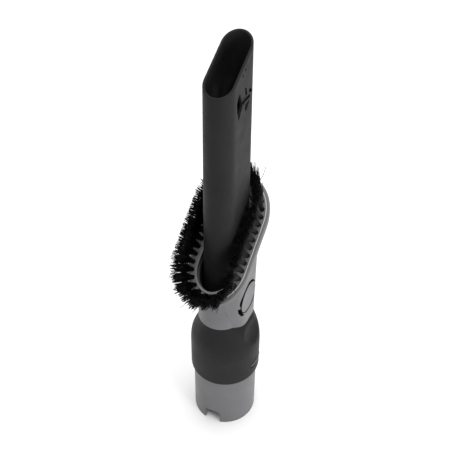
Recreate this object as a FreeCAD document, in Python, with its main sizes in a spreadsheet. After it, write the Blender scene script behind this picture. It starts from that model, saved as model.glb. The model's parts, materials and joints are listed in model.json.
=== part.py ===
import FreeCAD, Part
import Sketcher
import math
import os

# Combination crevice nozzle with a sliding dusting brush, in millimetres.
# It stands on the open end of its connector tube: z = 0 there, +Z up the tool.
# +X is the high side of the slanted mouth and brush ring, -Y the button side.

V = FreeCAD.Vector
DEG = 180.0 / math.pi

DIMS = {
    # connector tube
    "tube_r": 17.5,
    "tube_bore_r": 15.5,
    "tube_seen": 38.0,
    "tube_len": 59.5,
    "spigot_r": 17.2,
    "notch_half": 4.6,
    "notch_top": 9.2,
    "notch_corner": 2.4,
    # dark nozzle moulding
    "sleeve_len": 38.3,
    "sleeve_w": 38.1,
    "sleeve_bore_r": 17.25,
    "sleeve_top": 60.0,
    "shoulder_foot": 54.0,
    "shoulder_top": 83.6,
    "nozzle_len": 31.1,
    "nozzle_base_w": 17.0,
    "nozzle_end_w": 14.4,
    "nozzle_blank_top": 250.0,
    "wall": 1.5,
    "mouth_wall": 1.15,
    "mouth_mid": 237.4,
    "mouth_slope": 0.531,
    # collar and brush ring
    "collar_bottom": 84.0,
    "neck_top": 101.0,
    "neck_len": 35.5,
    "neck_w": 24.1,
    "guide_len": 31.7,
    "guide_w": 17.6,
    "ring_len": 55.4,
    "ring_w": 33.8,
    "ring_mid": 133.0,
    "ring_slope": 0.75,
    "ring_shift": 0.5,
    "ring_band": 2.6,
    "rim_w": 2.15,
    "rim_step": 0.3,
    "plate_thick": 3.0,
    "hole_len": 38.6,
    "hole_w": 18.9,
    "hole_shift": -2.3,
    "lip_w": 0.9,
    "lip_rise": 0.9,
    # bristles
    "path_len": 47.8,
    "path_w": 25.6,
    "tuft_hole_r": 1.25,
    "tuft_hole_depth": 2.4,
    "tuft_r": 1.15,
    "tuft_tip_r": 1.6,
    "tuft_len": 17.0,
    # release button
    "boss_face": 14.7,
    "button_x": -3.2,
    "button_mid": 101.0,
    "button_r": 8.5,
    "button_face": 14.5,
    "button_thick": 1.9,
    "well_r": 9.0,
    "crescent_r": 8.1,
    "well_floor": 9.6,
    "pivot_y": -11.3,
    "pivot_z": 99.8,
    "pin_r": 0.7,
    "pin_bore_r": 0.76,
    "pin_len": 16.4,
    "barrel_r": 1.6,
    "barrel_len": 12.8,
    # seal ring
    "seal_z": 53.0,
    "seal_r": 16.72,
    "seal_wire_r": 0.5,
}
TUFTS = 36

doc = FreeCAD.newDocument("combination_brush_tool")
sheet = doc.addObject("Spreadsheet::Sheet", "dims")
for row, (alias, number) in enumerate(DIMS.items(), start=1):
    sheet.set("A%d" % row, alias)
    sheet.set("B%d" % row, str(number))
    sheet.setAlias("B%d" % row, alias)
doc.recompute()

D = DIMS
RING_TILT = math.atan(D["ring_slope"])
RING_STRETCH = 1.0 / math.cos(RING_TILT)


# ---------------------------------------------------------------- helpers
def new_body(name):
    body = doc.addObject("PartDesign::Body", name)
    body.Label = name
    return body


def new_sketch(body, name, role, offset=None):
    """A sketch on one of the body's own origin planes, moved by offset."""
    sketch = body.newObject("Sketcher::SketchObject", name)
    plane = [f for f in body.Origin.OriginFeatures if f.Role == role][0]
    sketch.AttachmentSupport = [(plane, "")]
    sketch.MapMode = "FlatFace"
    if offset is not None:
        sketch.AttachmentOffset = offset
    return sketch


def level(z):
    return FreeCAD.Placement(V(0, 0, z), FreeCAD.Rotation())


def slanted(slope, middle, x, drop=0.0):
    """The plane z = middle + slope x, its origin at x, lowered by drop along its normal."""
    tilt = math.atan(slope)
    normal = V(-math.sin(tilt), 0, math.cos(tilt))
    return FreeCAD.Placement(V(x, 0, middle + slope * x) - normal * drop,
                             FreeCAD.Rotation(V(0, 1, 0), -tilt * DEG))


def bind(sketch, index, name, expression):
    sketch.renameConstraint(index, name)
    sketch.setExpression("Constraints." + name, expression)


def add_circle(sketch, radius, expression, x=0.0, y=0.0):
    geo = sketch.addGeometry(Part.Circle(V(x, y, 0), V(0, 0, 1), radius), False)
    if x or y:
        sketch.addConstraint(Sketcher.Constraint("DistanceX", geo, 3, x))
        sketch.addConstraint(Sketcher.Constraint("DistanceY", geo, 3, y))
    else:
        sketch.addConstraint(Sketcher.Constraint("Coincident", geo, 3, -1, 1))
    index = sketch.addConstraint(Sketcher.Constraint("Radius", geo, radius))
    bind(sketch, index, "radius%d" % geo, expression)
    return geo


def add_polygon(sketch, points):
    count = len(points)
    first = sketch.GeometryCount
    for i in range(count):
        a = points[i]
        b = points[(i + 1) % count]
        sketch.addGeometry(Part.LineSegment(V(a[0], a[1], 0), V(b[0], b[1], 0)), False)
    for i in range(count):
        sketch.addConstraint(
            Sketcher.Constraint("Coincident", first + i, 2, first + (i + 1) % count, 1))


def add_box(sketch, x0, y0, x1, y1):
    add_polygon(sketch, [(x0, y0), (x1, y0), (x1, y1), (x0, y1)])


def add_stadium(sketch, length, width, length_expression, width_expression):
    """A slot shape about the origin, long way along x, its sizes driven by expressions."""
    half = (length - width) / 2.0
    r = width / 2.0
    quarter = math.pi / 2.0
    sketch.addGeometry([
        Part.ArcOfCircle(Part.Circle(V(half, 0, 0), V(0, 0, 1), r), -quarter, quarter),
        Part.ArcOfCircle(Part.Circle(V(-half, 0, 0), V(0, 0, 1), r), quarter, 3 * quarter),
        Part.LineSegment(V(half, r, 0), V(-half, r, 0)),
        Part.LineSegment(V(-half, -r, 0), V(half, -r, 0))], False)
    sketch.addConstraint([
        Sketcher.Constraint("Tangent", 0, 2, 2, 1),
        Sketcher.Constraint("Tangent", 2, 2, 1, 1),
        Sketcher.Constraint("Tangent", 1, 2, 3, 1),
        Sketcher.Constraint("Tangent", 3, 2, 0, 1),
        Sketcher.Constraint("PointOnObject", 0, 3, -1),
        Sketcher.Constraint("Symmetric", 0, 3, 1, 3, -1, 1)])
    radius = sketch.addConstraint(Sketcher.Constraint("Radius", 0, r))
    bind(sketch, radius, "radius", "(%s) / 2" % width_expression)
    span = sketch.addConstraint(Sketcher.Constraint("DistanceX", 1, 3, 0, 3, 2 * half))
    bind(sketch, span, "span", "(%s) - (%s)" % (length_expression, width_expression))


def add_stretched_stadium(sketch, length, width, stretch):
    """A slot shape that looks like a plain stadium when seen straight down on a slanted plane."""
    half = (length - width) / 2.0 * stretch
    r = width / 2.0
    quarter = math.pi / 2.0
    ends = []
    for side in (1, -1):
        if stretch > 1.0001:
            oval = Part.Ellipse(V(side * half + r * stretch, 0, 0), V(side * half, r, 0),
                                V(side * half, 0, 0))
            ends.append(Part.ArcOfEllipse(oval, -quarter + (side < 0) * 2 * quarter,
                                          quarter + (side < 0) * 2 * quarter))
        else:
            oval = Part.Circle(V(side * half, 0, 0), V(0, 0, 1), r)
            ends.append(Part.ArcOfCircle(oval, -quarter + (side < 0) * 2 * quarter,
                                         quarter + (side < 0) * 2 * quarter))
    sketch.addGeometry([ends[0], Part.LineSegment(V(half, r, 0), V(-half, r, 0)),
                        ends[1], Part.LineSegment(V(-half, -r, 0), V(half, -r, 0))], False)


def feature(body, kind, name, **values):
    made = body.newObject("PartDesign::" + kind, name)
    for key, value in values.items():
        setattr(made, key, value)
    body.Tip = made
    return made


def volume(body):
    doc.recompute()
    return body.Shape.Volume


def pocket(body, sketch, name, depth, midplane=False):
    """Cut depth deep from the sketch, against its normal, and make sure it removes material."""
    before = volume(body)
    cut = feature(body, "Pocket", name, Profile=sketch, Length=depth, Midplane=midplane)
    after = volume(body)
    if not after < before - 1e-4:
        raise RuntimeError(name + " removed nothing")
    return cut


def pad(body, sketch, name, height, midplane=False, expression=None):
    made = feature(body, "Pad", name, Profile=sketch, Length=height, Midplane=midplane)
    if expression:
        made.setExpression("Length", expression)
    return made


def loft(body, kind, name, sketches, ruled=False):
    return feature(body, kind, name, Profile=sketches[0], Sections=sketches[1:], Ruled=ruled)


def edges_where(shape, test):
    return ["Edge%d" % (i + 1) for i, edge in enumerate(shape.Edges) if test(edge)]


# ---------------------------------------------------------------- connector tube
tube = new_body("connector_tube")
outer = new_sketch(tube, "tube_outer", "XY_Plane")
add_circle(outer, D["tube_r"], "dims.tube_r")
pad(tube, outer, "tube_seen_part", D["tube_seen"], expression="dims.tube_seen")
spigot = new_sketch(tube, "tube_spigot", "XY_Plane")
add_circle(spigot, D["spigot_r"], "dims.spigot_r")
pad(tube, spigot, "tube_hidden_part", D["tube_len"], expression="dims.tube_len")
bore = new_sketch(tube, "tube_bore", "XY_Plane", level(D["tube_len"]))
add_circle(bore, D["tube_bore_r"], "dims.tube_bore_r")
pocket(tube, bore, "tube_bore_cut", D["tube_len"] + 1)
half, top, corner = D["notch_half"], D["notch_top"], D["notch_corner"]
notch = new_sketch(tube, "tube_notch", "YZ_Plane", level(-13.0))
notch.addGeometry([
    Part.LineSegment(V(-half, -1, 0), V(half, -1, 0)),
    Part.LineSegment(V(half, -1, 0), V(half, top - corner, 0)),
    Part.ArcOfCircle(Part.Circle(V(half - corner, top - corner, 0), V(0, 0, 1), corner),
                     0, math.pi / 2),
    Part.LineSegment(V(half - corner, top, 0), V(corner - half, top, 0)),
    Part.ArcOfCircle(Part.Circle(V(corner - half, top - corner, 0), V(0, 0, 1), corner),
                     math.pi / 2, math.pi),
    Part.LineSegment(V(-half, top - corner, 0), V(-half, -1, 0))], False)
pocket(tube, notch, "tube_notch_cut", 8)
gland = new_sketch(tube, "seal_gland", "XZ_Plane")
add_box(gland, 16.2, D["seal_z"] - 0.7, 18.0, D["seal_z"] + 0.7)
feature(tube, "Groove", "seal_gland_cut", Profile=gland, ReferenceAxis=(gland, ["V_Axis"]),
        Angle=360)
barb = new_sketch(tube, "snap_barb", "XZ_Plane", level(16.6))
add_box(barb, -2.4, 45.25, 2.4, 46.35)
pad(tube, barb, "snap_barb_pad", 1.9)

seal = doc.addObject("Part::Torus", "tube_seal")
seal.Label = "tube_seal"
seal.Placement = level(D["seal_z"])
seal.setExpression("Radius1", "dims.seal_r")
seal.setExpression("Radius2", "dims.seal_wire_r")

# ---------------------------------------------------------------- crevice nozzle
nozzle = new_body("crevice_nozzle")
SHOULDER = [(54.0, 38.3, 38.1), (57.0, 38.3, 38.1), (61.0, 38.15, 37.9), (64.0, 37.8, 37.2),
            (68.0, 37.0, 35.0), (72.0, 35.6, 31.4), (76.0, 34.1, 26.6), (80.0, 32.6, 21.8),
            (83.6, 31.7, 18.3)]
sleeve = new_sketch(nozzle, "sleeve_outer", "XY_Plane", level(D["tube_seen"]))
add_stadium(sleeve, D["sleeve_len"], D["sleeve_w"], "dims.sleeve_len", "dims.sleeve_w")
pad(nozzle, sleeve, "sleeve_pad", D["shoulder_foot"] - D["tube_seen"],
    expression="dims.shoulder_foot - dims.tube_seen")
doc.recompute()


def sleeve_lower_edge(edge):
    return abs(edge.BoundBox.ZMax - D["tube_seen"]) < 0.01


feature(nozzle, "Fillet", "sleeve_edge_round",
        Base=(nozzle.Tip, edges_where(nozzle.Shape, sleeve_lower_edge)), Radius=1.1)
rings = []
for i, (z, length, width) in enumerate(SHOULDER):
    ring = new_sketch(nozzle, "shoulder%d" % i, "XY_Plane", level(z))
    add_stadium(ring, length, width, "%g" % length, "%g" % width)
    rings.append(ring)
loft(nozzle, "AdditiveLoft", "shoulder_loft", rings)


def nozzle_sections(prefix, base_inset, end_inset):
    made = []
    for part, z, inset in (("base", D["shoulder_top"], base_inset),
                           ("end", D["nozzle_blank_top"], end_inset)):
        section = new_sketch(nozzle, prefix + part, "XY_Plane", level(z))
        width = "nozzle_%s_w" % part
        add_stadium(section, D["nozzle_len"] - inset, D[width] - inset,
                    "dims.nozzle_len - %g" % inset, "dims.%s - %g" % (width, inset))
        made.append(section)
    return made


loft(nozzle, "AdditiveLoft", "nozzle_loft", nozzle_sections("nozzle_", 0.0, 0.0), ruled=True)
sleeve_bore = new_sketch(nozzle, "sleeve_bore", "XY_Plane", level(D["sleeve_top"]))
add_circle(sleeve_bore, D["sleeve_bore_r"], "dims.sleeve_bore_r")
pocket(nozzle, sleeve_bore, "sleeve_bore_cut", 30)
throat = new_sketch(nozzle, "throat", "XY_Plane", level(D["sleeve_top"]))
add_stadium(throat, 31.0, 30.8, "31", "30.8")
channel = nozzle_sections("channel_", 2 * D["wall"], 2 * D["mouth_wall"])
loft(nozzle, "SubtractiveLoft", "throat_cut", [throat, channel[0]], ruled=True)
loft(nozzle, "SubtractiveLoft", "channel_cut", channel, ruled=True)
mouth = new_sketch(nozzle, "mouth_cut_line", "XZ_Plane")
MOUTH_HALF = 25.0
add_polygon(mouth, [
    (-MOUTH_HALF, D["mouth_mid"] - D["mouth_slope"] * MOUTH_HALF),
    (MOUTH_HALF, D["mouth_mid"] + D["mouth_slope"] * MOUTH_HALF),
    (MOUTH_HALF, 260.0), (-MOUTH_HALF, 260.0)])
pocket(nozzle, mouth, "mouth_cut", 40, midplane=True)


def on_mouth(edge):
    points = edge.discretize(7)
    return all(abs(p.z - D["mouth_mid"] - D["mouth_slope"] * p.x) < 0.02 for p in points)


feature(nozzle, "Fillet", "mouth_lip_round",
        Base=(nozzle.Tip, edges_where(nozzle.Shape, on_mouth)), Radius=0.4)

LATCH_SWEEP = 33.0
slot = new_sketch(nozzle, "latch_slot", "YZ_Plane")
add_box(slot, -21.0, 45.0, -17.2, 46.7)
feature(nozzle, "Groove", "latch_slot_cut", Profile=slot, ReferenceAxis=(slot, ["V_Axis"]),
        Angle=LATCH_SWEEP, Midplane=True)
slot_lip = new_sketch(nozzle, "latch_lip", "YZ_Plane")
add_polygon(slot_lip, [(-18.0, 46.7), (-19.4, 46.7), (-19.35, 47.4), (-19.1, 48.6), (-18.0, 48.6)])
feature(nozzle, "Revolution", "latch_lip_rise", Profile=slot_lip,
        ReferenceAxis=(slot_lip, ["V_Axis"]), Angle=LATCH_SWEEP, Midplane=True)
feature(nozzle, "SubtractiveEllipsoid", "thumb_recess",
        Radius1=12.5, Radius2=23.0, Radius3=9.0,
        Placement=FreeCAD.Placement(V(0, -23.3, 72.7), FreeCAD.Rotation(V(1, 0, 0), -22)))
doc.recompute()


def on_recess(edge):
    """True for an edge whose points all lie on the recess's own curved surface."""
    back_to_ball = nozzle.Tip.Placement.inverse()
    for p in edge.discretize(7):
        q = back_to_ball.multVec(p)
        if abs((q.x / 23.0) ** 2 + (q.y / 9.0) ** 2 + (q.z / 12.5) ** 2 - 1.0) > 0.003:
            return False
    return True


feature(nozzle, "Fillet", "thumb_recess_round",
        Base=(nozzle.Tip, edges_where(nozzle.Shape, on_recess)), Radius=3.0)

# catch near the mouth: tapered slots beside a tongue, a cross ridge, a slit and two dimples
grooves = new_sketch(nozzle, "catch_grooves", "XZ_Plane", level(9.0))
add_polygon(grooves, [(-4.9, 212.9), (-2.8, 215.6), (-0.8, 218.4), (-2.3, 222.4), (-3.9, 226.6),
                      (-5.6, 225.4), (-6.8, 222.6), (-6.4, 218.2)])
add_polygon(grooves, [(1.7, 213.9), (3.4, 213.6), (6.4, 216.4), (6.9, 219.6), (4.9, 220.6),
                      (4.0, 218.9), (1.6, 216.4)])
add_polygon(grooves, [(1.3, 225.9), (1.9, 221.9), (3.9, 221.7), (2.8, 225.8)])
add_polygon(grooves, [(5.4, 221.8), (8.0, 219.9), (9.3, 220.2), (6.6, 223.4)])
pocket(nozzle, grooves, "catch_groove_cut", 3.8)
dimples = new_sketch(nozzle, "catch_dimples", "XZ_Plane", level(9.0))
for x, z in ((-1.0, 233.8), (1.9, 235.3)):
    dimples.addGeometry(Part.Circle(V(x, z, 0), V(0, 0, 1), 0.6), False)
pocket(nozzle, dimples, "catch_dimple_cut", 2.1)
ridge = new_sketch(nozzle, "catch_ridge", "XZ_Plane", level(6.9))
add_polygon(ridge, [(-0.7, 219.0), (5.0, 218.6), (5.4, 219.6), (-1.2, 220.2)])
pad(nozzle, ridge, "catch_ridge_pad", 1.4)
doc.recompute()

# ---------------------------------------------------------------- collar shell
collar = new_body("collar_shell")
neck = new_sketch(collar, "neck_outer", "XY_Plane", level(D["collar_bottom"]))
add_stadium(neck, D["neck_len"], D["neck_w"], "dims.neck_len", "dims.neck_w")
pad(collar, neck, "neck_pad", D["neck_top"] - D["collar_bottom"],
    expression="dims.neck_top - dims.collar_bottom")
FLARE_STEPS = 4
flare = []
for i in range(FLARE_STEPS + 1):
    share = i / FLARE_STEPS
    spread = share ** 1.9
    slope = D["ring_slope"] * share
    middle = D["neck_top"] + (D["ring_mid"] - D["ring_band"] - D["neck_top"]) * share
    section = new_sketch(collar, "flare%d" % i, "XY_Plane",
                         slanted(slope, middle, D["ring_shift"] * spread))
    add_stretched_stadium(section,
                          D["neck_len"] + (D["ring_len"] - D["neck_len"]) * spread,
                          D["neck_w"] + (D["ring_w"] - D["neck_w"]) * spread,
                          math.sqrt(1 + slope * slope))
    flare.append(section)
loft(collar, "AdditiveLoft", "flare_loft", flare)
band_sections = []
for name, middle in (("band_low", D["ring_mid"] - D["ring_band"]), ("band_high", D["ring_mid"])):
    section = new_sketch(collar, name, "XY_Plane",
                         slanted(D["ring_slope"], middle, D["ring_shift"]))
    add_stretched_stadium(section, D["ring_len"], D["ring_w"], RING_STRETCH)
    band_sections.append(section)
loft(collar, "AdditiveLoft", "ring_band_loft", band_sections, ruled=True)
doc.recompute()


def on_rim(edge):
    points = edge.discretize(7)
    return all(abs(p.z - D["ring_mid"] - D["ring_slope"] * p.x) < 0.02 for p in points)


rim_edges = edges_where(collar.Shape, on_rim)
feature(collar, "Fillet", "rim_round", Base=(collar.Tip, rim_edges), Radius=0.6)
doc.recompute()

BOSS_LOW = [(-12.6, -9.3), (-10.9, -12.1), (-8.9, -13.9), (-5.8, -14.7), (-1.0, -14.75),
            (3.6, -14.6), (6.9, -13.3), (10.5, -10.8)]
BOSS_HIGH = [(-20.0, -6.0), (-18.3, -10.4), (-16.3, -13.5), (-13.0, -14.8), (-4.0, -14.9),
             (5.0, -14.8), (8.6, -13.5), (13.0, -10.8)]
boss = []
for name, slope, middle, corners in (("boss_low", 0.0, 83.6, BOSS_LOW),
                                     ("boss_high", 0.45, 126.0, BOSS_HIGH)):
    section = new_sketch(collar, name, "XY_Plane", slanted(slope, middle, 0.0))
    stretch = math.sqrt(1 + slope * slope)
    points = [V(x * stretch, y, 0) for x, y in corners]
    front = Part.BSplineCurve()
    front.interpolate(points)
    left, right = V(points[0].x, -5.0, 0), V(points[-1].x, -5.0, 0)
    section.addGeometry([front, Part.LineSegment(points[-1], right),
                         Part.LineSegment(right, left), Part.LineSegment(left, points[0])], False)
    boss.append(section)
loft(collar, "AdditiveLoft", "button_boss_loft", boss, ruled=True)

seat = new_sketch(collar, "plate_seat", "XY_Plane",
                  slanted(D["ring_slope"], D["ring_mid"], D["ring_shift"]))
add_stretched_stadium(seat, D["ring_len"] - 2 * D["rim_w"], D["ring_w"] - 2 * D["rim_w"],
                      RING_STRETCH)
pocket(collar, seat, "plate_seat_cut", D["plate_thick"] + D["rim_step"])
funnel = [new_sketch(collar, "funnel_top", "XY_Plane",
                     slanted(D["ring_slope"], D["ring_mid"], D["hole_shift"], 3.2)),
          new_sketch(collar, "funnel_bottom", "XY_Plane", level(98.0))]
add_stretched_stadium(funnel[0], D["hole_len"], 18.2, RING_STRETCH)
add_stretched_stadium(funnel[1], D["guide_len"], D["guide_w"], 1.0)
loft(collar, "SubtractiveLoft", "funnel_cut", funnel, ruled=True)
guide = new_sketch(collar, "nozzle_guide", "XY_Plane", level(98.0))
add_stadium(guide, D["guide_len"], D["guide_w"], "dims.guide_len", "dims.guide_w")
pocket(collar, guide, "nozzle_guide_cut", 20)

# The button sits in a round well, with a wide crescent above it and a hooked slot at its lower left.
BX = D["button_x"]
ARM_X = -0.6
WELL_START = D["boss_face"] + 1.0
WELL_DEEP = WELL_START - D["well_floor"]
well = new_sketch(collar, "button_well", "XZ_Plane", level(WELL_START))
add_circle(well, D["well_r"], "dims.well_r", BX, D["button_mid"])
pocket(collar, well, "button_well_cut", WELL_DEEP)
crescent = new_sketch(collar, "well_crescent", "XZ_Plane", level(WELL_START))
add_circle(crescent, D["crescent_r"], "dims.crescent_r", BX - 1.8, D["button_mid"] + 4.2)
pocket(collar, crescent, "well_crescent_cut", WELL_DEEP)
hook = new_sketch(collar, "well_hook", "XZ_Plane", level(WELL_START))
add_polygon(hook, [(-11.6, 100.9), (-13.4, 100.2), (-12.6, 96.6), (-10.9, 93.1), (-8.4, 92.3),
                   (-10.6, 96.0), (-11.5, 98.4)])
pocket(collar, hook, "well_hook_cut", WELL_DEEP)
arm_way = new_sketch(collar, "arm_way", "XZ_Plane", level(13.3))
add_box(arm_way, ARM_X - 4.0, 107.0, ARM_X + 4.0, 118.3)
pocket(collar, arm_way, "arm_way_cut", 13.3 - D["well_floor"])
window = new_sketch(collar, "pawl_window", "XZ_Plane", level(D["well_floor"] + 0.1))
add_box(window, ARM_X - 2.7, 114.3, ARM_X + 2.7, 117.5)
pocket(collar, window, "pawl_window_cut", 2.0)
ears = new_sketch(collar, "pivot_ears", "XZ_Plane", level(D["well_floor"] - 0.2))
for inner, outer_x in ((BX - 6.8, BX - 9.2), (BX + 6.8, BX + 9.2)):
    add_box(ears, min(inner, outer_x), D["pivot_z"] - 1.6, max(inner, outer_x),
            D["pivot_z"] + 1.6)
pad(collar, ears, "pivot_ears_pad", 2.8)
pin_hole = new_sketch(collar, "pin_hole", "YZ_Plane", level(BX))
add_circle(pin_hole, D["pin_r"], "dims.pin_r", D["pivot_y"], D["pivot_z"])
pocket(collar, pin_hole, "pin_hole_cut", D["pin_len"], midplane=True)

# ---------------------------------------------------------------- release button
button = new_body("release_button")
cap = new_sketch(button, "button_cap", "XZ_Plane", level(D["button_face"] - D["button_thick"]))
add_circle(cap, D["button_r"], "dims.button_r", BX, D["button_mid"])
pad(button, cap, "button_cap_pad", D["button_thick"], expression="dims.button_thick")
barrel = new_sketch(button, "button_barrel", "YZ_Plane", level(BX))
add_circle(barrel, D["barrel_r"], "dims.barrel_r", D["pivot_y"], D["pivot_z"])
pad(button, barrel, "button_barrel_pad", D["barrel_len"], midplane=True,
    expression="dims.barrel_len")
web = new_sketch(button, "arm_root", "XZ_Plane", level(10.6))
add_box(web, ARM_X - 3.0, 100.0, ARM_X + 3.0, 106.0)
pad(button, web, "arm_root_pad", 2.2)
arm = new_sketch(button, "arm", "XZ_Plane", level(10.6))
add_box(arm, ARM_X - 3.0, 100.0, ARM_X + 3.0, 117.0)
pad(button, arm, "arm_pad", 1.2)
pawl = new_sketch(button, "pawl", "XZ_Plane", level(8.65))
add_box(pawl, ARM_X - 2.0, 115.0, ARM_X + 2.0, 116.6)
pad(button, pawl, "pawl_pad", 2.1)
pin_bore = new_sketch(button, "pin_bore", "YZ_Plane", level(BX))
add_circle(pin_bore, D["pin_bore_r"], "dims.pin_bore_r", D["pivot_y"], D["pivot_z"])
pocket(button, pin_bore, "pin_bore_cut", D["pin_len"], midplane=True)

pin = doc.addObject("Part::Cylinder", "pivot_pin")
pin.Label = "pivot_pin"
pin.Placement = FreeCAD.Placement(V(BX - D["pin_len"] / 2, D["pivot_y"], D["pivot_z"]),
                                  FreeCAD.Rotation(V(0, 1, 0), 90))
pin.setExpression("Radius", "dims.pin_r")
pin.setExpression("Height", "dims.pin_len")

leaf = new_body("return_spring")
strip = new_sketch(leaf, "leaf_section", "YZ_Plane", level(BX))
add_polygon(strip, [(-9.65, 97.2), (-9.65, 93.2), (-10.0, 93.2), (-12.5, 96.0),
                    (-12.28, 96.2), (-9.95, 93.65), (-9.95, 97.2)])
pad(leaf, strip, "leaf_pad", 5.0, midplane=True)

# ---------------------------------------------------------------- brush plate
plate = new_body("brush_plate")
FIT_GAP = 0.1
face = new_sketch(plate, "plate_outline", "XY_Plane",
                  slanted(D["ring_slope"], D["ring_mid"], D["ring_shift"],
                          D["plate_thick"] + D["rim_step"]))
add_stretched_stadium(face, D["ring_len"] - 2 * (D["rim_w"] + FIT_GAP),
                      D["ring_w"] - 2 * (D["rim_w"] + FIT_GAP), RING_STRETCH)
pad(plate, face, "plate_pad", D["plate_thick"], expression="dims.plate_thick")
lip = new_sketch(plate, "lip_outline", "XY_Plane",
                 slanted(D["ring_slope"], D["ring_mid"], D["hole_shift"], D["rim_step"] + 0.5))
add_stretched_stadium(lip, D["hole_len"] + 2 * D["lip_w"], D["hole_w"] + 2 * D["lip_w"],
                      RING_STRETCH)
pad(plate, lip, "lip_pad", D["lip_rise"] + 0.5)
opening = new_sketch(plate, "plate_opening", "XY_Plane",
                     slanted(D["ring_slope"], D["ring_mid"], D["hole_shift"], -3.0))
add_stretched_stadium(opening, D["hole_len"], D["hole_w"], RING_STRETCH)
pocket(plate, opening, "plate_opening_cut", 10.0)


def tuft_roots():
    """Evenly spaced points along the slanted stadium path, with the outward direction."""
    half = (D["path_len"] - D["path_w"]) / 2
    r = D["path_w"] / 2
    fine = []
    steps = 400
    for i in range(steps):
        a = -math.pi / 2 + math.pi * i / steps
        fine.append((half + r * math.cos(a), r * math.sin(a), math.cos(a), math.sin(a)))
    for i in range(steps):
        fine.append((half - 2 * half * i / steps, r, 0.0, 1.0))
    for i in range(steps):
        a = math.pi / 2 + math.pi * i / steps
        fine.append((-half + r * math.cos(a), r * math.sin(a), math.cos(a), math.sin(a)))
    for i in range(steps):
        fine.append((-half + 2 * half * i / steps, -r, 0.0, -1.0))
    lengths = [0.0]
    for i in range(1, len(fine) + 1):
        p, q = fine[i - 1], fine[i % len(fine)]
        lengths.append(lengths[-1] + math.hypot((q[0] - p[0]) * RING_STRETCH, q[1] - p[1]))
    roots = []
    for k in range(TUFTS):
        goal = lengths[-1] * (k + 0.5) / TUFTS
        i = max(j for j in range(len(fine)) if lengths[j] <= goal)
        roots.append(fine[i])
    return roots


ROOTS = tuft_roots()
holes = new_sketch(plate, "tuft_holes", "XY_Plane",
                   slanted(D["ring_slope"], D["ring_mid"], D["ring_shift"], D["rim_step"]))
holes.addGeometry([Part.Circle(V(x * RING_STRETCH, y, 0), V(0, 0, 1), D["tuft_hole_r"])
                   for x, y, across, outward in ROOTS], False)
pocket(plate, holes, "tuft_hole_cut", D["tuft_hole_depth"])

# ---------------------------------------------------------------- bristle tufts
PLATE_FRAME = slanted(D["ring_slope"], D["ring_mid"], D["ring_shift"], D["rim_step"])
NORMAL = PLATE_FRAME.Rotation.multVec(V(0, 0, 1))
ALONG = PLATE_FRAME.Rotation.multVec(V(1, 0, 0))


def tuft_splay(across, outward):
    """Bristles splay outward on the +Y side and at both ends, and stand up on the -Y side."""
    splay_y = 0.30 * max(outward, 0.0) + 0.05 - 0.35 * min(outward, 0.0) * min(across, 0.0)
    splay_x = 0.50 * min(across, 0.0) + 0.42 * max(across, 0.0)
    return V(0, 1, 0) * splay_y + ALONG * splay_x


def tuft_ring(name, center, normal, expression):
    ring = doc.addObject("Part::Circle", name)
    ring.Placement = FreeCAD.Placement(center, FreeCAD.Rotation(V(0, 0, 1), normal))
    ring.setExpression("Radius", expression)
    return ring


tuft_names = []
for k, (x, y, across, outward) in enumerate(ROOTS, start=1):
    name = "tuft_%02d" % k
    splay = tuft_splay(across, outward)
    rings = []
    for i, depth in enumerate((0.25 - D["tuft_hole_depth"], -1.0, 0.4)):
        center = PLATE_FRAME.multVec(V(x * RING_STRETCH, y, depth))
        rings.append(tuft_ring("%s_root%d" % (name, i), center, NORMAL, "dims.tuft_r"))
    reach = D["tuft_len"] / 3
    for i in range(3):
        lean = (NORMAL + splay * (0.6 + 0.4 * i)).normalize()
        center = center + lean * reach
        share = (i + 1) / 3
        rings.append(tuft_ring("%s_free%d" % (name, i), center, lean,
                               "dims.tuft_r + (dims.tuft_tip_r - dims.tuft_r) * %.4f" % share))
    tuft = doc.addObject("Part::Loft", name)
    tuft.Label = name
    tuft.Sections = rings
    tuft.Solid = True
    tuft_names.append(name)

staple_sketch = doc.addObject("Sketcher::SketchObject", "staple_outlines")
staple_sketch.Placement = slanted(D["ring_slope"], D["ring_mid"], D["ring_shift"],
                                  D["rim_step"] + D["tuft_hole_depth"] - 0.02)
for x, y, across, outward in ROOTS:
    add_box(staple_sketch, x * RING_STRETCH - 0.95, y - 0.2, x * RING_STRETCH + 0.95, y + 0.2)
staples = doc.addObject("Part::Extrusion", "tuft_staples")
staples.Label = "tuft_staples"
staples.Base = staple_sketch
staples.DirMode = "Normal"
staples.LengthFwd = 0.2
staples.Solid = True
doc.recompute()

# ---------------------------------------------------------------- checks and files
NODES = ["connector_tube", "tube_seal", "crevice_nozzle", "collar_shell", "brush_plate",
         "tuft_staples", "release_button", "pivot_pin", "return_spring"] + tuft_names
for thing in doc.Objects:
    if "Invalid" in thing.State or "Error" in thing.State:
        raise RuntimeError("%s is in state %s" % (thing.Name, thing.State))
os.makedirs("parts", exist_ok=True)
for name in NODES:
    node = doc.getObject(name)
    shape = node.Shape
    if shape.isNull() or not shape.isValid() or not shape.Solids:
        raise RuntimeError(name + " has no valid solid")
    shape.exportStep("parts/%s.step" % name)
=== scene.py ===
"""The looks of a combination crevice and dusting-brush tool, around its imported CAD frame.

The CAD nodes keep their meshes and get procedural materials. Only the tufts are replaced, each
by a bundle of fine filaments. Sizes are in millimetres in the row frame: z is up from the
tube's open end, -Y is the side with the button and -X is the low side of the slanted ring.
"""

import bisect
import json
import math
import random

import bmesh
import bpy
from mathutils import Matrix, Vector


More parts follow.
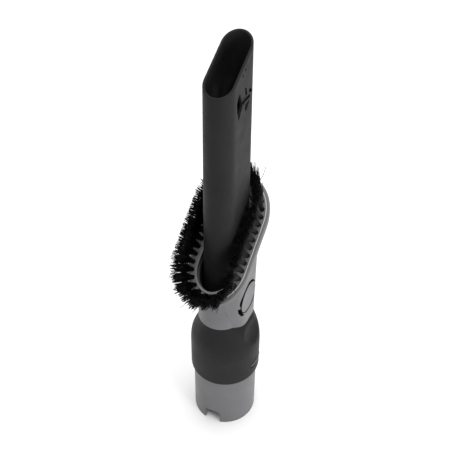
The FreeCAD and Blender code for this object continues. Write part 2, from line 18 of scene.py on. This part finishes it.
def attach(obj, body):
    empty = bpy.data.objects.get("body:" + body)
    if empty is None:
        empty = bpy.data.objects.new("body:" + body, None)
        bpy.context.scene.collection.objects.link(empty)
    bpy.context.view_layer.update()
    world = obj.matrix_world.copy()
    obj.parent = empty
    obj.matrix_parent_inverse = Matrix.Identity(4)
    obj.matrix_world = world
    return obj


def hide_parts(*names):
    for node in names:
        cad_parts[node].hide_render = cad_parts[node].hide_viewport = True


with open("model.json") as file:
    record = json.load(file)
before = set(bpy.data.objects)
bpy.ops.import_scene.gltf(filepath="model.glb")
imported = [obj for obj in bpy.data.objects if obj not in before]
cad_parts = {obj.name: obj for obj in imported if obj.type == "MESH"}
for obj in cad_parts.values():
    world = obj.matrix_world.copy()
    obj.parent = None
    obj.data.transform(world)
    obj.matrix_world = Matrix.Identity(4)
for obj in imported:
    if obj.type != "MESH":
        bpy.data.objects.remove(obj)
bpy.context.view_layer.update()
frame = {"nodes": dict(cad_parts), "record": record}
nodes = frame["nodes"]
scene = bpy.context.scene
MM = 0.001

# ------------------------------------------------------------------ sizes, as in the CAD
# The top of the brush ring is the plane z = RING_MID + RING_SLOPE x, its middle at x = RING_SHIFT.
# The rim's opening and the path of the tufts are stadiums, with these sizes seen from above.
RING_SLOPE = 0.75
RING_SHIFT = 0.5
RING_MID = 133.0
RIM_LEN, RIM_WIDTH = 51.1, 29.5
PLATE_STEP = 0.3
PATH_LEN, PATH_WIDTH = 47.8, 25.6
TUFTS = 36
BUTTON_X, BUTTON_Z = -3.2, 101.0
WELL_R = 9.0
CRESCENT_X, CRESCENT_Z = BUTTON_X - 1.8, BUTTON_Z + 4.2
CRESCENT_R = 8.1
BOSS_FACE = 14.7
BUTTON_FACE = 14.5

# ------------------------------------------------------------------ where the painted shade and highlights are
# The button well has painted shade, dark from just under the two faces, over SHADE_DEPTH, back to
# its floor.
WELL_MARGIN = 0.05
WELL_BACK = 9.4
WELL_SHADE = BOSS_FACE - 0.1
BUTTON_SHADE = BUTTON_FACE - 0.05
SHADE_DEPTH = 0.25
# The rim has a painted highlight, a bright line along its inner edge, 2 EDGE_HALF wide, and a top
# face painted lighter, as painted light, that takes TOP_SHARE of its own tone. A DROP is how far
# below the top of the ring each of them starts.
EDGE_HALF = 0.36
EDGE_DROP = 0.4
TOP_DROP = 0.5
TOP_SHARE = 0.7
# The latch slot has painted shade between two heights on the button side, and the lip above it has
# a painted highlight where it stands out of the sleeve. The tube has painted shade above
# TUBE_HIDDEN, inside the sleeve.
LATCH_FRONT = 14.0
LATCH_HALF = 5.4
LATCH_LOW, LATCH_HIGH = 44.0, 46.75
LIP_LOW, LIP_HIGH = 46.65, 47.6
LIP_R = 19.17
TUBE_HIDDEN = 40.0

# ------------------------------------------------------------------ camera
# The camera is 441 mm from the tool's axis along its line of sight, and looks down at 44 degrees
# past the low side. From straight down, it is rolled a little, tilted up and turned about Z, in
# degrees.
EYE = (-288.80, -131.59, 449.65)
TURN, TILT_UP, ROLL = -65.504, 46.042, 0.575
SENSOR_WIDTH = 36.0
FOCAL_LENGTH = 72.0
SHIFT = -0.00337

camera_data = bpy.data.cameras.new("camera")
camera_data.sensor_width = SENSOR_WIDTH
camera_data.lens = FOCAL_LENGTH
camera_data.shift_x = SHIFT
camera_data.clip_start = 0.01
camera = bpy.data.objects.new("camera", camera_data)
scene.collection.objects.link(camera)
camera.matrix_world = (Matrix.Translation(Vector(EYE) * MM)
                       @ Matrix.Rotation(math.radians(TURN), 4, "Z")
                       @ Matrix.Rotation(math.radians(TILT_UP), 4, "X")
                       @ Matrix.Rotation(math.radians(ROLL), 4, "Z"))
scene.camera = camera
scene.view_settings.view_transform = "Standard"


# ------------------------------------------------------------------ shader node helpers
def new_material(name):
    made = bpy.data.materials.new(name)
    made.use_nodes = True
    return made, made.node_tree, made.node_tree.nodes["Principled BSDF"]


def grey(level, warm=0.0, cool=0.0):
    return (level * (1 + warm), level, level * (1 + cool), 1.0)


def add(tree, kind, values=None, **props):
    """A shader node. Its properties are set first, because they decide which inputs it has."""
    node = tree.nodes.new("ShaderNode" + kind)
    for key, value in props.items():
        setattr(node, key, value)
    for key, value in (values or {}).items():
        feed(tree, node.inputs[key], value)
    return node


def feed(tree, entry, value):
    """Gives a node's input a value: another node's output, or a plain number or colour."""
    if isinstance(value, bpy.types.NodeSocket):
        tree.links.new(value, entry)
    else:
        entry.default_value = value


def object_place(tree):
    return add(tree, "TexCoord").outputs["Object"]


def axes(tree, place):
    """The x, y and z of a place."""
    return tuple(add(tree, "SeparateXYZ", {"Vector": place}).outputs)


def maths(tree, operation, first, second=0.0):
    return add(tree, "Math", {0: first, 1: second}, operation=operation).outputs["Value"]


def product(tree, first, *others):
    for value in others:
        first = maths(tree, "MULTIPLY", first, value)
    return first


def above(tree, value, limit):
    """1 where the value is more than limit, in millimetres."""
    return maths(tree, "GREATER_THAN", value, limit * MM)


def below(tree, value, limit):
    """1 where the value is less than limit, in millimetres."""
    return maths(tree, "LESS_THAN", value, limit * MM)


def mixed(tree, first, second, factor, blend="MIX"):
    """The first colour with the second blended over it, as much as factor says."""
    values = {"A": first, "B": second, "Factor": factor}
    return add(tree, "Mix", values, data_type="RGBA", blend_type=blend).outputs["Result"]


def noise(tree, place, scale, detail, roughness=0.5):
    values = {"Vector": place, "Scale": scale, "Detail": detail, "Roughness": roughness}
    return add(tree, "TexNoise", values).outputs


def two_tones(tree, value, dark, light, start=0.0, end=1.0):
    """A colour that goes from dark where the value is start to light where it is end."""
    ramp = add(tree, "ValToRGB", {"Fac": value})
    for stop, position, colour in zip(ramp.color_ramp.elements, (start, end), (dark, light)):
        stop.position = position
        stop.color = colour
    return ramp.outputs["Color"]


def remapped(tree, value, low, high, start=0.0, end=1.0):
    """A number that goes from low where the value is start to high where it is end."""
    values = {"Value": value, "From Min": start, "From Max": end, "To Min": low, "To Max": high}
    return add(tree, "MapRange", values).outputs["Result"]


def finish_surface(tree, shader, colour, gloss, height, bump, depth):
    """Feeds the shader its colour and roughness, and a bump of a strength and a depth in mm."""
    feed(tree, shader.inputs["Base Color"], colour)
    feed(tree, shader.inputs["Roughness"], gloss)
    relief = add(tree, "Bump", {"Height": height, "Strength": bump, "Distance": depth * MM})
    feed(tree, shader.inputs["Normal"], relief.outputs["Normal"])


# ------------------------------------------------------------------ painted shade and highlights on single pieces
def inside_circle(tree, place, x, z, radius):
    """1 within radius of the line through (x, z) along Y."""
    flat = add(tree, "VectorMath", {0: place, 1: (1.0, 0.0, 1.0)}, operation="MULTIPLY")
    away = add(tree, "VectorMath", {0: flat.outputs["Vector"], 1: (x * MM, 0.0, z * MM)},
               operation="DISTANCE")
    return below(tree, away.outputs["Value"], radius)


def depth_below(tree, y, face):
    """0 at the button side's surface y = -face, rising to 1 just below it."""
    return remapped(tree, y, 0.0, 1.0, -face * MM, (SHADE_DEPTH - face) * MM)


def off_rim(tree, x, y):
    """How far a point is from the rim's inner edge, a stadium seen from above."""
    half = (RIM_LEN - RIM_WIDTH) / 2
    sideways = maths(tree, "ABSOLUTE", maths(tree, "SUBTRACT", x, RING_SHIFT * MM))
    beyond = maths(tree, "MAXIMUM", maths(tree, "SUBTRACT", sideways, half * MM))
    squares = maths(tree, "ADD", product(tree, beyond, beyond), product(tree, y, y))
    across = maths(tree, "SQRT", squares)
    return maths(tree, "ABSOLUTE", maths(tree, "SUBTRACT", across, RIM_WIDTH / 2 * MM))


def collar_painted_light(tree, place, colour):
    """Painted shade down in the button well, painted light on the rim's top face and a painted
    highlight along the edge inside the rim.
    """
    x, y, z = axes(tree, place)
    well = maths(tree, "MAXIMUM",
                 inside_circle(tree, place, BUTTON_X, BUTTON_Z, WELL_R + WELL_MARGIN),
                 inside_circle(tree, place, CRESCENT_X, CRESCENT_Z, CRESCENT_R + WELL_MARGIN))
    deep = product(tree, well, below(tree, y, -WELL_BACK), depth_below(tree, y, WELL_SHADE))
    rise = maths(tree, "SUBTRACT", z, product(tree, x, RING_SLOPE))
    top_face = above(tree, rise, RING_MID - TOP_DROP)
    edge = product(tree, below(tree, off_rim(tree, x, y), EDGE_HALF),
                   above(tree, rise, RING_MID - EDGE_DROP))
    # Painted shade: the button well is darkened below the faces.
    colour = mixed(tree, colour, grey(0.0015), deep)
    # Painted light: the rim's top face is painted lighter.
    colour = mixed(tree, colour, grey(0.19), product(tree, top_face, TOP_SHARE))
    # Painted highlight: a bright line along the rim's inner edge.
    return mixed(tree, colour, grey(0.66), edge)


def button_painted_shade(tree, place, colour):
    """Painted shade on the button's side wall, down in the well."""
    y = axes(tree, place)[1]
    # Painted shade: the side wall is darkened below the button's face.
    return mixed(tree, colour, grey(0.001), depth_below(tree, y, BUTTON_SHADE))


def nozzle_painted_light(tree, place, colour):
    """Painted shade in the latch slot of the sleeve, and a painted highlight on the edge of the
    lip above it.
    """
    x, y, z = axes(tree, place)
    flat = add(tree, "VectorMath", {0: place, 1: (1.0, 1.0, 0.0)}, operation="MULTIPLY")
    reach = add(tree, "VectorMath", {0: flat.outputs["Vector"]}, operation="LENGTH")
    in_front = below(tree, y, -LATCH_FRONT)
    slot = product(tree, in_front, below(tree, maths(tree, "ABSOLUTE", x), LATCH_HALF),
                   above(tree, z, LATCH_LOW), below(tree, z, LATCH_HIGH))
    lip = product(tree, in_front, above(tree, reach.outputs["Value"], LIP_R),
                  above(tree, z, LIP_LOW), below(tree, z, LIP_HIGH))
    # Painted shade in the slot, then a painted highlight on the lip.
    return mixed(tree, mixed(tree, colour, grey(0.0008), slot), grey(0.14), lip)


def tube_painted_shade(tree, place, colour):
    """Painted shade on the part of the tube that the latch slot shows inside the sleeve."""
    z = axes(tree, place)[2]
    # Painted shade: the tube is darkened above TUBE_HIDDEN.
    return mixed(tree, colour, grey(0.001), above(tree, z, TUBE_HIDDEN))


# ------------------------------------------------------------------ materials
# The scales are in cells per metre: the drift runs over 26 mm, and a speck is 0.4 mm. A relief is
# the height of a bump, and CREVICE is how far the painted shade in a crevice reaches.
DRIFT, RUBS, PORES, SPECKS, TONES = 38.0, 120.0, 1500.0, 2600.0, 900.0
STREAKS = (300.0, 3000.0, 3000.0)
CREVICE = 2.2
PLASTIC_RELIEF, STEEL_RELIEF, NYLON_RELIEF = 0.06, 0.03, 0.02


def moulded_plastic(name, dark, light, rough, grain, specular, painted_light=None, deepest=0.12):
    """Satin moulded plastic: slow colour drift, fine specks and grain, and uneven gloss.

    deepest is how dark the painted shade in a crevice gets, and painted_light adds the painted
    shade and highlights that only one piece shows.
    """
    made, tree, shader = new_material(name)
    place = object_place(tree)
    drift = noise(tree, place, DRIFT, 4.0, 0.55)["Fac"]
    specks = noise(tree, place, SPECKS, 2.0)
    rubs = noise(tree, place, RUBS, 6.0, 0.7)["Fac"]
    pores = add(tree, "TexVoronoi", {"Vector": place, "Scale": PORES}).outputs["Distance"]
    crevice = add(tree, "AmbientOcclusion", {"Distance": CREVICE * MM}, samples=6).outputs["AO"]
    colour = two_tones(tree, drift, dark, light, 0.30, 0.72)
    colour = mixed(tree, colour, specks["Color"], 0.10, "OVERLAY")
    # Painted shade: crevices are darkened by ambient occlusion, down to deepest.
    colour = mixed(tree, colour, remapped(tree, crevice, deepest, 1.0, 0.25, 0.8), 1.0, "MULTIPLY")
    # The painted shade and highlights of one piece.
    if painted_light:
        colour = painted_light(tree, place, colour)
    gloss = remapped(tree, rubs, rough - 0.05, rough + 0.07, 0.3, 0.7)
    height = maths(tree, "ADD", pores, specks["Fac"])
    finish_surface(tree, shader, colour, gloss, height, grain, PLASTIC_RELIEF)
    shader.inputs["Specular IOR Level"].default_value = specular
    return made


def drawn_steel(name, level, rough):
    """Bright steel with fine streaks along X."""
    made, tree, shader = new_material(name)
    drawn = add(tree, "Mapping", {"Vector": object_place(tree), "Scale": STREAKS})
    streaks = noise(tree, drawn.outputs["Vector"], 1.0, 5.0)["Fac"]
    colour = two_tones(tree, streaks, grey(level * 0.8), grey(level, cool=0.03))
    gloss = remapped(tree, streaks, rough - 0.08, rough + 0.1)
    finish_surface(tree, shader, colour, gloss, streaks, 0.2, STEEL_RELIEF)
    shader.inputs["Metallic"].default_value = 1.0
    return made


def nylon(name):
    """Black nylon filament: each is a little different, with a soft shine along it."""
    made, tree, shader = new_material(name)
    tone = noise(tree, object_place(tree), TONES, 3.0)["Fac"]
    colour = two_tones(tree, tone, grey(0.0004), grey(0.002), 0.35, 0.75)
    gloss = remapped(tree, tone, 0.4, 0.6)
    finish_surface(tree, shader, colour, gloss, tone, 0.15, NYLON_RELIEF)
    shader.inputs["Specular IOR Level"].default_value = 0.12
    return made


DARK = {"dark": grey(0.0118, warm=0.08, cool=0.04), "light": grey(0.0160, warm=0.08, cool=0.04),
        "rough": 0.52, "grain": 0.25, "specular": 0.10}
GREY = {"dark": grey(0.115, cool=0.04), "light": grey(0.139, cool=0.04),
        "rough": 0.42, "grain": 0.25, "specular": 0.30}
# Painted light: the plate's grey is a lighter copy of GREY, so that the plate shows bright between
# the tufts' roots.
PAINTED_LIT_GREY = {**GREY, "dark": grey(0.17, cool=0.04), "light": grey(0.20, cool=0.04)}
RUBBER = {"dark": grey(0.012), "light": grey(0.02), "rough": 0.7, "grain": 0.5, "specular": 0.3}
BRISTLE = nylon("black_nylon")
BY_NODE = {
    "crevice_nozzle": moulded_plastic("dark_nozzle_plastic", **DARK, painted_light=nozzle_painted_light),
    "connector_tube": moulded_plastic("grey_tube_plastic", **GREY, painted_light=tube_painted_shade),
    "collar_shell": moulded_plastic("grey_collar_plastic", **GREY, painted_light=collar_painted_light),
    # Painted light on the plate, with weaker painted shade in its crevices.
    "brush_plate": moulded_plastic("grey_plate_plastic", **PAINTED_LIT_GREY, deepest=0.5),
    "release_button": moulded_plastic("grey_button_plastic", **GREY, painted_light=button_painted_shade),
}
BY_SLOT = {
    "rubber": moulded_plastic("seal_rubber", **RUBBER),
    "steel_wire": drawn_steel("drawn_wire", 0.55, 0.3),
    "spring_steel": drawn_steel("spring_leaf_steel", 0.45, 0.35),
    "bristle": BRISTLE,
}
for entry in frame["record"]["subparts"]:
    node = entry["node"]
    slots = nodes[node].data.materials
    slots.clear()
    slots.append(BY_NODE[node] if node in BY_NODE else BY_SLOT[entry["material_slot"]])

# ------------------------------------------------------------------ bristles
TILT = math.atan(RING_SLOPE)
STRETCH = 1.0 / math.cos(TILT)
NORMAL = Vector((-math.sin(TILT), 0, math.cos(TILT)))
ALONG = Vector((math.cos(TILT), 0, math.sin(TILT)))
ACROSS = Vector((0, 1, 0))
PLATE_TOP = Vector((RING_SHIFT, 0, RING_MID + RING_SHIFT * RING_SLOPE)) - NORMAL * PLATE_STEP
PATH_STEPS = 400

# A tuft is a spiral of filaments, which starts down in its hole and widens above the plate.
TUFT_LEN = 16.4
FILAMENTS = 130
GOLDEN_ANGLE = 2.39996
FOOT_R, NECK_R = 0.98, 1.0
FOOT_DEPTH, NECK_RISE = 1.9, 0.1
FAN_OUT, FAN_OUT_BUTTON_SIDE = 0.28, 0.14
BUTTON_SIDE = -0.6
DOME = 0.5
# The filaments of a clump lean and end together, and each differs a little from its clump.
CLUMPS = 8
CLUMP_LEAN, CLUMP_LENGTH = 0.035, 0.45
OWN_TURN, OWN_LEAN, OWN_CURL, OWN_LENGTH = 0.3, 0.018, 0.035, 0.15
STRAY_SHARE = 0.010
STRAY_LEAN = 4.0
STRAY_LENGTH = (0.8, 2.4)
# A filament that passes LEAN_LIMIT in y is held back, so that it stays in the CAD model's box.
LEAN_LIMIT = 19.4
LEAN_HELD = 0.7
RADIUS = (0.14, 0.18)
TAPER = 0.25
FILAMENT_SIDES = 4
FILAMENT_STEPS = 7
# No filament runs along this direction, so it can start each ring of a filament's points.
ASKEW = Vector((0.31, 0.77, 0.55))
rng = random.Random(7)


def path_points():
    """Points round the tufts' path, a stadium seen from above, with the direction outwards."""
    half = (PATH_LEN - PATH_WIDTH) / 2
    r = PATH_WIDTH / 2
    points = []
    for side in (1, -1):
        for i in range(PATH_STEPS):
            a = -side * math.pi / 2 + math.pi * i / PATH_STEPS
            points.append((side * half + r * math.cos(a), r * math.sin(a),
                           math.cos(a), math.sin(a)))
        for i in range(PATH_STEPS):
            points.append((side * (half - 2 * half * i / PATH_STEPS), side * r, 0.0, side))
    return points


def tuft_roots():
    """The path's points that are evenly spaced when measured on the slanted plate."""
    points = path_points()
    lengths = [0.0]
    for p, q in zip(points, points[1:] + points[:1]):
        lengths.append(lengths[-1] + math.hypot((q[0] - p[0]) * STRETCH, q[1] - p[1]))
    goals = [lengths[-1] * (k + 0.5) / TUFTS for k in range(TUFTS)]
    return [points[bisect.bisect_right(lengths, goal) - 1] for goal in goals]


def tuft_splay(endwise, outward):
    """How a tuft leans: outwards, but upright on the -Y side away from the ring's low end."""
    lean_y = 0.30 * max(outward, 0.0) + 0.05 - 0.35 * min(outward, 0.0) * min(endwise, 0.0)
    lean_x = 0.50 * min(endwise, 0.0) + 0.42 * max(endwise, 0.0)
    return ACROSS * lean_y + ALONG * lean_x


def tuft_reach(endwise, outward):
    """A tuft's length, less at the ring's low end and on the +Y side."""
    return TUFT_LEN - 2.8 * max(-endwise, 0.0) ** 2 - 1.9 * max(outward, 0.0)


def wobble(spread):
    return Vector([rng.gauss(0, spread) for _ in range(3)])


def filament_line(root, splay, reach, fan_out, clump, j):
    """The points along filament j of a tuft, from down in its hole to its tip."""
    spread = math.sqrt((j + 0.5) / FILAMENTS)
    turn = j * GOLDEN_ANGLE + rng.uniform(-OWN_TURN, OWN_TURN)
    out = (ALONG * math.cos(turn) + ACROSS * math.sin(turn)) * spread
    wander, extra = clump
    jitter = wander + wobble(OWN_LEAN)
    curl = wobble(OWN_CURL)
    length = reach + extra + rng.gauss(0, OWN_LENGTH) + DOME * spread
    if rng.random() < STRAY_SHARE:
        jitter *= STRAY_LEAN
        length += rng.uniform(*STRAY_LENGTH)
    points = [root + out * FOOT_R - NORMAL * FOOT_DEPTH, root + out * NECK_R + NORMAL * NECK_RISE]
    for i in range(FILAMENT_STEPS):
        share = (i + 0.5) / FILAMENT_STEPS
        fan = out * fan_out * math.sin(math.pi * min(share * 1.25, 1.0))
        way = NORMAL + splay * (0.55 + 0.9 * share) + fan + jitter + curl * share * share
        points.append(points[-1] + way.normalized() * (length / FILAMENT_STEPS))
    for p in points:
        p.y -= LEAN_HELD * max(p.y - LEAN_LIMIT, 0.0)
    return points


def add_filament(mesh, points, radius):
    """A thin tube along the points, tapering to its tip."""
    angles = [2 * math.pi * s / FILAMENT_SIDES for s in range(FILAMENT_SIDES)]
    rings = []
    for i, p in enumerate(points):
        ahead = points[min(i + 1, len(points) - 1)] - points[max(i - 1, 0)]
        first = ahead.cross(ASKEW).normalized()
        second = ahead.cross(first).normalized()
        r = radius * (1.0 - TAPER * (i / (len(points) - 1)) ** 2)
        ring = [p + first * (r * math.cos(a)) + second * (r * math.sin(a)) for a in angles]
        rings.append([mesh.verts.new(corner * MM) for corner in ring])
    for low, high in zip(rings, rings[1:]):
        for s in range(FILAMENT_SIDES):
            after = (s + 1) % FILAMENT_SIDES
            mesh.faces.new((low[s], low[after], high[after], high[s]))
    mesh.faces.new(reversed(rings[0]))
    mesh.faces.new(rings[-1])


def tuft_bundle(name, root, splay, reach, fan_out):
    """One tuft: filaments that stand in clumps, with a few strays."""
    mesh = bmesh.new()
    clumps = [(wobble(CLUMP_LEAN), rng.gauss(0, CLUMP_LENGTH)) for _ in range(CLUMPS)]
    for j in range(FILAMENTS):
        line = filament_line(root, splay, reach, fan_out, clumps[j % CLUMPS], j)
        add_filament(mesh, line, rng.uniform(*RADIUS))
    data = bpy.data.meshes.new(name)
    mesh.to_mesh(data)
    mesh.free()
    for face in data.polygons:
        face.use_smooth = True
    data.materials.append(BRISTLE)
    made = bpy.data.objects.new(name, data)
    scene.collection.objects.link(made)
    return made


for k, (x, y, endwise, outward) in enumerate(tuft_roots(), start=1):
    root = PLATE_TOP + ALONG * (x * STRETCH) + Vector((0, y, 0))
    fan_out = FAN_OUT if outward > BUTTON_SIDE else FAN_OUT_BUTTON_SIDE
    bundle = tuft_bundle("bristles_%02d" % k, root, tuft_splay(endwise, outward),
                         tuft_reach(endwise, outward), fan_out)
    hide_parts("tuft_%02d" % k)
    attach(bundle, "brush_head")

# ------------------------------------------------------------------ floor and light
# These are in metres.
FLOOR_HALF = 4.0
MIDDLE = (0, 0, 0.12)
corners = [(-FLOOR_HALF, -FLOOR_HALF, 0), (FLOOR_HALF, -FLOOR_HALF, 0),
           (FLOOR_HALF, FLOOR_HALF, 0), (-FLOOR_HALF, FLOOR_HALF, 0)]
floor_mesh = bpy.data.meshes.new("floor")
floor_mesh.from_pydata(corners, [], [(0, 1, 2, 3)])
floor = bpy.data.objects.new("floor", floor_mesh)
scene.collection.objects.link(floor)
pale, _, shader = new_material("pale_floor")
shader.inputs["Base Color"].default_value = grey(0.95)
shader.inputs["Roughness"].default_value = 0.9
shader.inputs["Specular IOR Level"].default_value = 0.1
floor_mesh.materials.append(pale)

world = bpy.data.worlds.new("studio")
world.use_nodes = True
sky = world.node_tree.nodes["Background"]
sky.inputs["Color"].default_value = grey(1.0)
sky.inputs["Strength"].default_value = 0.40
scene.world = world


def area_light(name, place, size, power):
    """A round soft light in metres and watts, aimed at the middle of the tool."""
    data = bpy.data.lights.new(name, "AREA")
    data.shape = "DISK"
    data.size = size
    data.energy = power
    made = bpy.data.objects.new(name, data)
    scene.collection.objects.link(made)
    made.location = place
    made.rotation_euler = (Vector(MIDDLE) - Vector(place)).to_track_quat("-Z", "Y").to_euler()


area_light("key", (-0.45, -1.15, 0.36), 0.5, 7.8)
area_light("top", (0.1, 0.0, 1.8), 2.4, 40)
